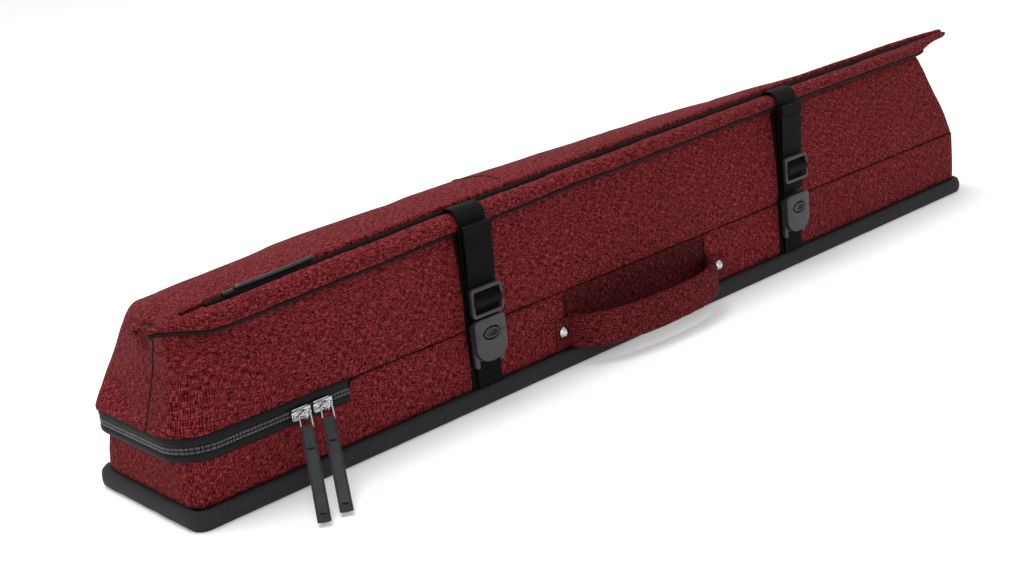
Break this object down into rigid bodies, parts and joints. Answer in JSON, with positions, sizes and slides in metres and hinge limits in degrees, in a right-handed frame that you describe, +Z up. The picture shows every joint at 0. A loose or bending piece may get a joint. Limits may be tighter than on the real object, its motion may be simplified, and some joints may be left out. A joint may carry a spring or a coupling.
{
  "type": "cue case",
  "caption": "Long rounded hard case for two-piece cues, with a zipped soft pocket on top, a near end that lifts on a zip, buckled straps over the pocket's mouth and a padded side grip.",
  "frame": {"origin": "middle of the flat underside the case rests on", "axes": "+X runs along the case from its zipped near end to its far end, -Y is the side with the grip and the straps, +Z is up"},
  "size_m": [0.8555, 0.1868, 0.1511],
  "materials": {
    "board": "dark stiff board",
    "binding": "charcoal twill edge binding",
    "tube": "dark rigid tube",
    "canvas": "maroon melange woven canvas",
    "zip_tape": "black zip tape",
    "zip_coil": "black nylon coil",
    "chrome": "bright nickel",
    "leather": "dark grey leather with a stitched edge",
    "plastic": "charcoal moulded acetal",
    "webbing": "black ribbed nylon webbing"
  },
  "bodies": {
    "case": {"base_board": "board", "tray_shell": "board", "deck_board": "board", "mouth_plate": "board", "edge_binding": "binding", "cue_tube_butt_1": "tube", "cue_tube_butt_2": "tube", "cue_tube_shaft_1": "tube", "cue_tube_shaft_2": "tube", "cue_tube_shaft_3": "tube", "cue_tube_shaft_4": "tube", "near_wrap": "canvas", "front_cover_left": "canvas", "recess_panel": "canvas", "cover_wrap": "canvas", "pocket_front": "canvas", "pocket_roof": "canvas", "pocket_back": "canvas", "pocket_far_end": "canvas", "fold_cloth": "canvas", "grip_end_left": "canvas", "grip_end_right": "canvas", "top_zip_tape_rear": "zip_tape", "zip_tape_lower": "zip_tape", "zip_coil_lower": "zip_coil", "rivet_left": "chrome", "rivet_right": "chrome", "strap_near_base": "webbing", "strap_near_lower": "webbing", "strap_near_frame": "plastic", "strap_far_base": "webbing", "strap_far_lower": "webbing", "strap_far_frame": "plastic"},
    "hood": {"hood_shell": "canvas", "hood_lip": "canvas", "zip_tape_upper": "zip_tape", "zip_coil_upper": "zip_coil"},
    "lip": {"front_lip": "canvas", "top_zip_tape_front": "zip_tape"},
    "hem_near": {"strap_near_anchor": "webbing"},
    "hem_far": {"strap_far_anchor": "webbing"},
    "slider_a": {"zip_slider_a": "chrome"},
    "slider_b": {"zip_slider_b": "chrome"},
    "pull_a": {"pull_loop_a": "chrome", "pull_tab_a": "leather"},
    "pull_b": {"pull_loop_b": "chrome", "pull_tab_b": "leather"},
    "top_slider": {"top_zip_slider": "chrome"},
    "top_puller": {"top_zip_puller": "plastic"},
    "grip": {"grip": "canvas"},
    "strap_near": {"strap_near_webbing": "webbing", "strap_near_plate": "plastic"},
    "strap_far": {"strap_far_webbing": "webbing", "strap_far_plate": "plastic"},
    "glide_near": {"strap_near_glide": "plastic"},
    "glide_far": {"strap_far_glide": "plastic"},
    "button_near": {"strap_near_button": "plastic"},
    "button_far": {"strap_far_button": "plastic"}
  },
  "joints": [
    {"name": "hood_lift", "type": "hinge", "parent": "case", "child": "hood", "pos_m": [-0.297, 0, 0.0575], "axis": [0, 1, 0], "range_deg": [0, 32], "deforming": ["fold_cloth"]},
    {"name": "lip_open", "type": "hinge", "parent": "case", "child": "lip", "pos_m": [0, -0.0545, 0.135], "axis": [0.9998, 0, 0.0208], "range_deg": [0, 40]},
    {"name": "zip_slide_a", "type": "slide", "parent": "case", "child": "slider_a", "axis": [-1, 0, 0], "range_m": [0, 0.05]},
    {"name": "zip_slide_b", "type": "slide", "parent": "case", "child": "slider_b", "axis": [1, 0, 0], "range_m": [0, 0.012]},
    {"name": "pull_swing_a", "type": "hinge", "parent": "slider_a", "child": "pull_a", "pos_m": [-0.3395, -0.067, 0.0505], "axis": [-0.8613, 0.5081, 0], "range_deg": [0, 110]},
    {"name": "pull_swing_b", "type": "hinge", "parent": "slider_b", "child": "pull_b", "pos_m": [-0.3225, -0.067, 0.0505], "axis": [-0.8613, 0.5081, 0], "range_deg": [0, 110]},
    {"name": "top_zip_slide", "type": "slide", "parent": "hood", "child": "top_slider", "axis": [-0.9998, 0, -0.0208], "range_m": [-0.72, 0]},
    {"name": "top_puller_swing", "type": "hinge", "parent": "top_slider", "child": "top_puller", "pos_m": [-0.362, -0.0451, 0.13962], "axis": [0, -1, 0], "range_deg": [0, 90]},
    {"name": "grip_swing", "type": "hinge", "parent": "case", "child": "grip", "pos_m": [-0.0175, -0.059, 0.0275], "axis": [-1, 0, 0], "range_deg": [-12, 27], "deforming": ["grip_end_left", "grip_end_right"]},
    {"name": "hem_turn_near", "type": "hinge", "parent": "lip", "child": "hem_near", "pos_m": [-0.18, -0.0526, 0.1364], "axis": [-0.9998, 0, -0.0208], "range_deg": [0, 40]},
    {"name": "strap_swing_near", "type": "hinge", "parent": "hem_near", "child": "strap_near", "pos_m": [-0.18, -0.0607, 0.1364], "axis": [-1, 0, 0], "range_deg": [0, 90]},
    {"name": "glide_slide_near", "type": "slide", "parent": "strap_near", "child": "glide_near", "axis": [0, 0, 1], "range_m": [-0.0015, 0.02]},
    {"name": "button_press_near", "type": "slide", "parent": "strap_near", "child": "button_near", "axis": [0, 1, 0], "range_m": [0, 0.0012], "stiffness_N_per_m": 900},
    {"name": "hem_turn_far", "type": "hinge", "parent": "lip", "child": "hem_far", "pos_m": [0.168, -0.0526, 0.14292], "axis": [-0.9998, 0, -0.0208], "range_deg": [0, 40]},
    {"name": "strap_swing_far", "type": "hinge", "parent": "hem_far", "child": "strap_far", "pos_m": [0.168, -0.0607, 0.14292], "axis": [-1, 0, 0], "range_deg": [0, 90]},
    {"name": "glide_slide_far", "type": "slide", "parent": "strap_far", "child": "glide_far", "axis": [0, 0, 1], "range_m": [-0.011, 0.02]},
    {"name": "button_press_far", "type": "slide", "parent": "strap_far", "child": "button_far", "axis": [0, 1, 0], "range_m": [0, 0.0012], "stiffness_N_per_m": 900}
  ],
  "couplings": [
    {"joint": "hem_turn_near", "follows": "lip_open", "ratio": 1},
    {"joint": "hem_turn_far", "follows": "lip_open", "ratio": 1}
  ]
}
